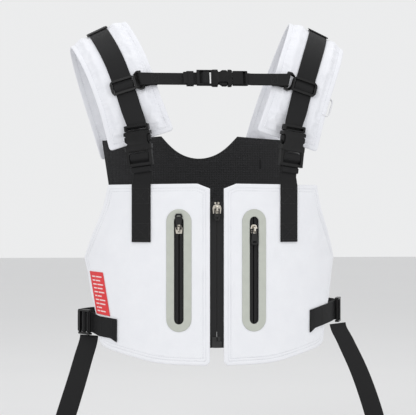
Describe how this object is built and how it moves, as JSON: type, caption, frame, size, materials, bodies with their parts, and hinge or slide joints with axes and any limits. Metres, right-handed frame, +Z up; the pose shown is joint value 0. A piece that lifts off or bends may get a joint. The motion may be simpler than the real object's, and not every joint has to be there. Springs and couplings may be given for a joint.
{
  "type": "harness vest",
  "caption": "Worn harness vest: two zipped front panels with welded zip pockets, padded shoulders on webbing, side release buckles, sternum strap and side adjusters.",
  "frame": {"origin": "on the wearer's torso axis, level with the front panels' lowest hem", "axes": "+Z up along the torso, front faces -Y, the wearer's left is +X"},
  "size_m": [0.4457, 0.2404, 0.5744],
  "materials": {
    "white_fabric": "matt",
    "back_mesh": "matt",
    "black_webbing": "satin",
    "black_plastic": "satin",
    "zip_tape": "matt",
    "weld_tape": "satin",
    "slider_metal": "polished",
    "grey_plastic": "satin",
    "puller_rubber": "matt",
    "red_label": "matt",
    "white_elastic": "matt"
  },
  "bodies": {
    "vest": {"back_panel": "back_mesh", "back_webbing_left": "black_webbing", "back_webbing_right": "black_webbing", "chest_webbing_left": "black_webbing", "chest_webbing_right": "black_webbing", "front_panel_left": "white_fabric", "front_panel_right": "white_fabric", "front_zip_tape_left": "zip_tape", "front_zip_tape_right": "zip_tape", "pad_loop": "white_elastic", "pocket_bag_left": "back_mesh", "pocket_bag_right": "back_mesh", "pocket_weld_tape_left": "weld_tape", "pocket_weld_tape_right": "weld_tape", "pocket_zip_chain_left": "zip_tape", "pocket_zip_chain_right": "zip_tape", "shoulder_band_left": "black_webbing", "shoulder_band_right": "black_webbing", "shoulder_buckle_base_left": "black_plastic", "shoulder_buckle_base_right": "black_plastic", "shoulder_buckle_body_left": "black_plastic", "shoulder_buckle_body_right": "black_plastic", "shoulder_pad_left": "white_fabric", "shoulder_pad_right": "white_fabric", "shoulder_webbing_left": "black_webbing", "shoulder_webbing_right": "black_webbing", "side_label": "red_label", "side_lock_left": "black_plastic", "side_lock_right": "black_plastic", "side_strap_left": "black_webbing", "side_strap_right": "black_webbing", "side_tab_left": "black_webbing", "side_tab_right": "black_webbing", "side_tail_left": "black_webbing", "side_tail_right": "black_webbing", "sternum_buckle_base": "black_plastic", "sternum_buckle_body": "black_plastic", "sternum_keeper": "black_webbing", "sternum_slider_left": "black_plastic", "sternum_slider_right": "black_plastic", "sternum_webbing_left": "black_webbing", "sternum_webbing_right": "black_webbing", "zip_box": "grey_plastic", "zip_pin": "grey_plastic", "zip_top_stops": "grey_plastic"},
    "front_zip_slider": {"front_zip_slider": "slider_metal"},
    "front_zip_puller": {"front_zip_puller": "puller_rubber"},
    "pocket_zip_slider_right": {"pocket_zip_slider_right": "slider_metal"},
    "pocket_zip_puller_right": {"pocket_zip_puller_right": "puller_rubber"},
    "pocket_zip_slider_left": {"pocket_zip_slider_left": "slider_metal"},
    "pocket_zip_puller_left": {"pocket_zip_puller_left": "puller_rubber"},
    "shoulder_buckle_arm_right_inner": {"shoulder_buckle_arm_right_inner": "black_plastic"},
    "shoulder_buckle_arm_right_outer": {"shoulder_buckle_arm_right_outer": "black_plastic"},
    "shoulder_buckle_arm_left_inner": {"shoulder_buckle_arm_left_inner": "black_plastic"},
    "shoulder_buckle_arm_left_outer": {"shoulder_buckle_arm_left_outer": "black_plastic"},
    "sternum_buckle_arm_lower": {"sternum_buckle_arm_lower": "black_plastic"},
    "sternum_buckle_arm_upper": {"sternum_buckle_arm_upper": "black_plastic"}
  },
  "joints": [
    {"name": "front_zip_slide", "type": "slide", "parent": "vest", "child": "front_zip_slider", "axis": [0, 0, -1], "range_m": [0, 0.149]},
    {"name": "front_puller_swing", "type": "hinge", "parent": "front_zip_slider", "child": "front_zip_puller", "pos_m": [0, -0.1199, 0.1915], "axis": [-1, 0, 0], "range_deg": [0, 175]},
    {"name": "pocket_zip_slide_right", "type": "slide", "parent": "vest", "child": "pocket_zip_slider_right", "axis": [0, 0, -1], "range_m": [-0.008, 0.108]},
    {"name": "pocket_puller_swing_right", "type": "hinge", "parent": "pocket_zip_slider_right", "child": "pocket_zip_puller_right", "pos_m": [-0.04669, -0.11512, 0.167], "axis": [0.9788, -0.2047, 0], "range_deg": [0, 175]},
    {"name": "pocket_zip_slide_left", "type": "slide", "parent": "vest", "child": "pocket_zip_slider_left", "axis": [0, 0, -1], "range_m": [-0.008, 0.108]},
    {"name": "pocket_puller_swing_left", "type": "hinge", "parent": "pocket_zip_slider_left", "child": "pocket_zip_puller_left", "pos_m": [0.04669, -0.11512, 0.167], "axis": [-0.9788, -0.2047, 0], "range_deg": [0, 175]},
    {"name": "shoulder_buckle_arm_right_inner_squeeze", "type": "hinge", "parent": "vest", "child": "shoulder_buckle_arm_right_inner", "pos_m": [-0.08714, -0.10636, 0.28669], "axis": [0.4302, 0.9027, 0], "range_deg": [0, 8], "stiffness_Nm_per_rad": 0.6},
    {"name": "shoulder_buckle_arm_right_outer_squeeze", "type": "hinge", "parent": "vest", "child": "shoulder_buckle_arm_right_outer", "pos_m": [-0.10578, -0.09748, 0.28416], "axis": [-0.4302, -0.9027, 0], "range_deg": [0, 8], "stiffness_Nm_per_rad": 0.6},
    {"name": "shoulder_buckle_arm_left_inner_squeeze", "type": "hinge", "parent": "vest", "child": "shoulder_buckle_arm_left_inner", "pos_m": [0.08714, -0.10636, 0.28669], "axis": [0.4302, -0.9027, 0], "range_deg": [0, 8], "stiffness_Nm_per_rad": 0.6},
    {"name": "shoulder_buckle_arm_left_outer_squeeze", "type": "hinge", "parent": "vest", "child": "shoulder_buckle_arm_left_outer", "pos_m": [0.10578, -0.09748, 0.28416], "axis": [-0.4302, 0.9027, 0], "range_deg": [0, 8], "stiffness_Nm_per_rad": 0.6},
    {"name": "sternum_buckle_arm_lower_squeeze", "type": "hinge", "parent": "vest", "child": "sternum_buckle_arm_lower", "pos_m": [0.0196, -0.09741, 0.34799], "axis": [0, 0.9397, -0.342], "range_deg": [0, 8], "stiffness_Nm_per_rad": 0.6},
    {"name": "sternum_buckle_arm_upper_squeeze", "type": "hinge", "parent": "vest", "child": "sternum_buckle_arm_upper", "pos_m": [0.0196, -0.09394, 0.35754], "axis": [0, -0.9397, 0.342], "range_deg": [0, 8], "stiffness_Nm_per_rad": 0.6}
  ]
}
